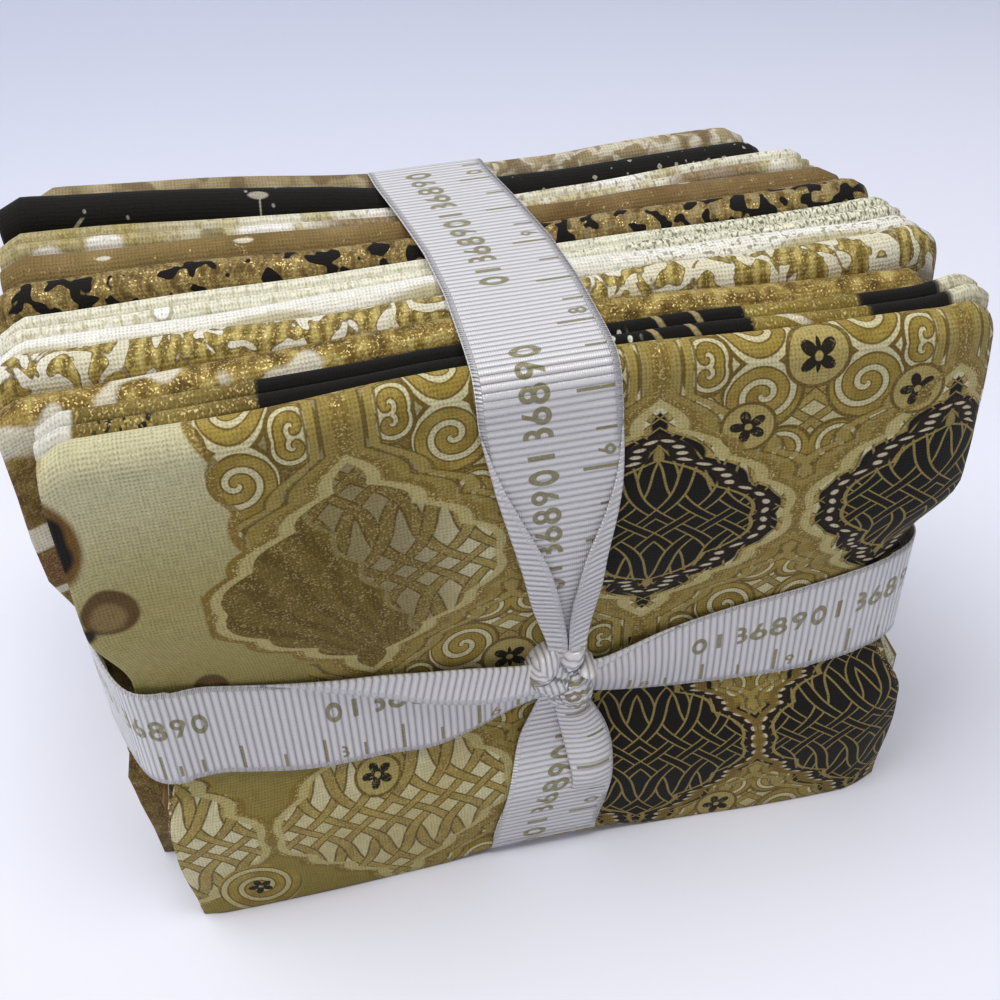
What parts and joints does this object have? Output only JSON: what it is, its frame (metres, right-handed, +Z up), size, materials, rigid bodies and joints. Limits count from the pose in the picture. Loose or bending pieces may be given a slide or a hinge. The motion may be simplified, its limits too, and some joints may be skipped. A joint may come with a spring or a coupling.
{
  "type": "fat quarter bundle",
  "caption": "Bundle of folded cotton quilting fabrics standing on edge, tied both ways with one ribbed white ribbon knotted at the front.",
  "frame": {"origin": "bottom centre of the bundle's bounding box, on the surface it stands on", "axes": "+X along the folds, to the right seen from the front; +Y to the back; +Z up"},
  "size_m": [0.1604, 0.0948, 0.1157],
  "materials": {
    "cloth_01_damask": "printed woven cotton with a fine metallic print",
    "cloth_02_black_gold": "printed woven cotton with a fine metallic print",
    "cloth_03_gold_roll": "printed woven cotton with a fine metallic print",
    "cloth_04_white_scroll": "printed woven cotton with a fine metallic print",
    "cloth_05_pale_edge": "printed woven cotton with a fine metallic print",
    "cloth_06_pebble": "printed woven cotton with a fine metallic print",
    "cloth_07_blotch": "printed woven cotton with a fine metallic print",
    "cloth_08_bronze": "plain dyed woven cotton",
    "cloth_09_cream_floral": "printed woven cotton with a fine metallic print",
    "cloth_10_black_fleck": "dark woven cotton with a few light flecks",
    "cloth_11_tan": "printed woven cotton",
    "ribbon_tie": "white ribbed polyester ribbon, satin sheen"
  },
  "bodies": {
    "root": {"cloth_01_damask": "cloth_01_damask", "cloth_02_black_gold": "cloth_02_black_gold", "cloth_03_gold_roll": "cloth_03_gold_roll", "cloth_04_white_scroll": "cloth_04_white_scroll", "cloth_05_pale_edge": "cloth_05_pale_edge", "cloth_06_pebble": "cloth_06_pebble", "cloth_07_blotch": "cloth_07_blotch", "cloth_08_bronze": "cloth_08_bronze", "cloth_09_cream_floral": "cloth_09_cream_floral", "cloth_10_black_fleck": "cloth_10_black_fleck", "cloth_11_tan": "cloth_11_tan", "ribbon_tie": "ribbon_tie"}
  },
  "joints": []
}
